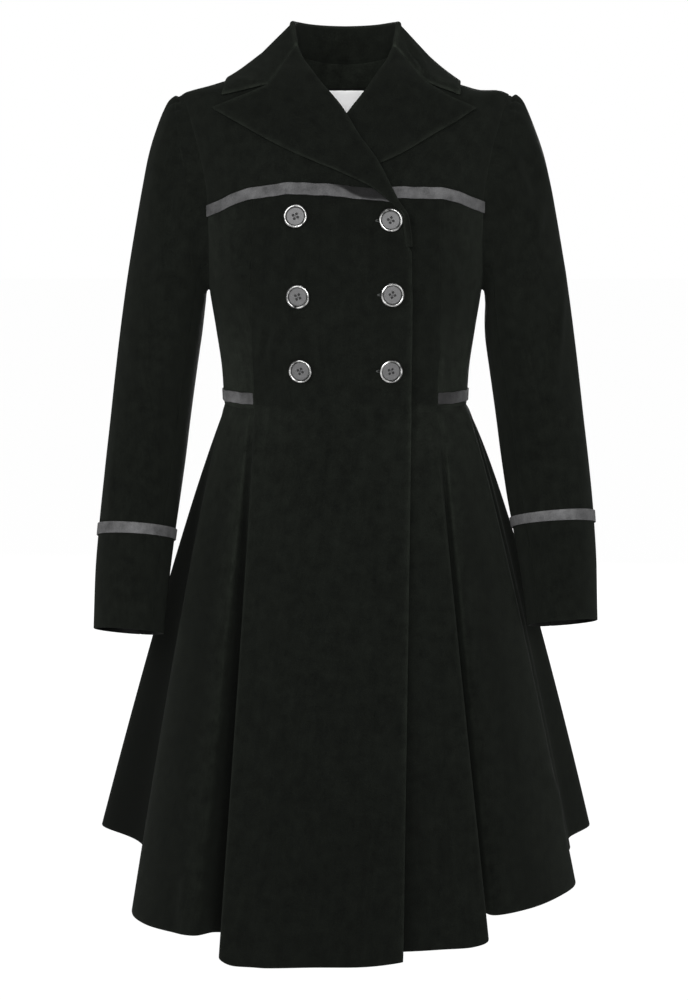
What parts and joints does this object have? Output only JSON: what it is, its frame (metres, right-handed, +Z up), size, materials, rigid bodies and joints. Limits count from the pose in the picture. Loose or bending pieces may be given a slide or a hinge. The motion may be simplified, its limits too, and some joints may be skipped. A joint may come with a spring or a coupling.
{
  "type": "velvet coat",
  "caption": "Knee-length double-breasted velvet coat with peaked lapels, fitted bodice, gathered sleeve heads, ribbon trim and a pleated swing skirt, in its worn hollow form.",
  "frame": {"origin": "on the coat's middle plane between the neck ends of the shoulder seams, where the wearer holds it up", "axes": "+Z up, the front faces -Y, the wearer's left is +X"},
  "size_m": [0.5788, 0.5288, 0.973],
  "materials": {
    "black_velvet": "short cotton velvet pile",
    "grey_ribbon": "velvet ribbon",
    "silver_button": "polished rim, satin face",
    "white_label": "woven satin"
  },
  "bodies": {
    "root": {"back_bodice": "black_velvet", "back_skirt": "black_velvet", "button_1": "silver_button", "button_2": "silver_button", "button_3": "silver_button", "button_4": "silver_button", "button_5": "silver_button", "button_6": "silver_button", "centre_front_left": "black_velvet", "centre_front_right": "black_velvet", "collar": "black_velvet", "collar_stand": "black_velvet", "cuff_trim_left": "grey_ribbon", "cuff_trim_right": "grey_ribbon", "label": "white_label", "lapel_left": "black_velvet", "lapel_right": "black_velvet", "side_front_left": "black_velvet", "side_front_right": "black_velvet", "side_skirt_left": "black_velvet", "side_skirt_right": "black_velvet", "sleeve_top_left": "black_velvet", "sleeve_top_right": "black_velvet", "sleeve_under_left": "black_velvet", "sleeve_under_right": "black_velvet", "waist_trim": "grey_ribbon", "yoke_left": "black_velvet", "yoke_right": "black_velvet", "yoke_trim_left": "grey_ribbon", "yoke_trim_right": "grey_ribbon"}
  },
  "joints": []
}
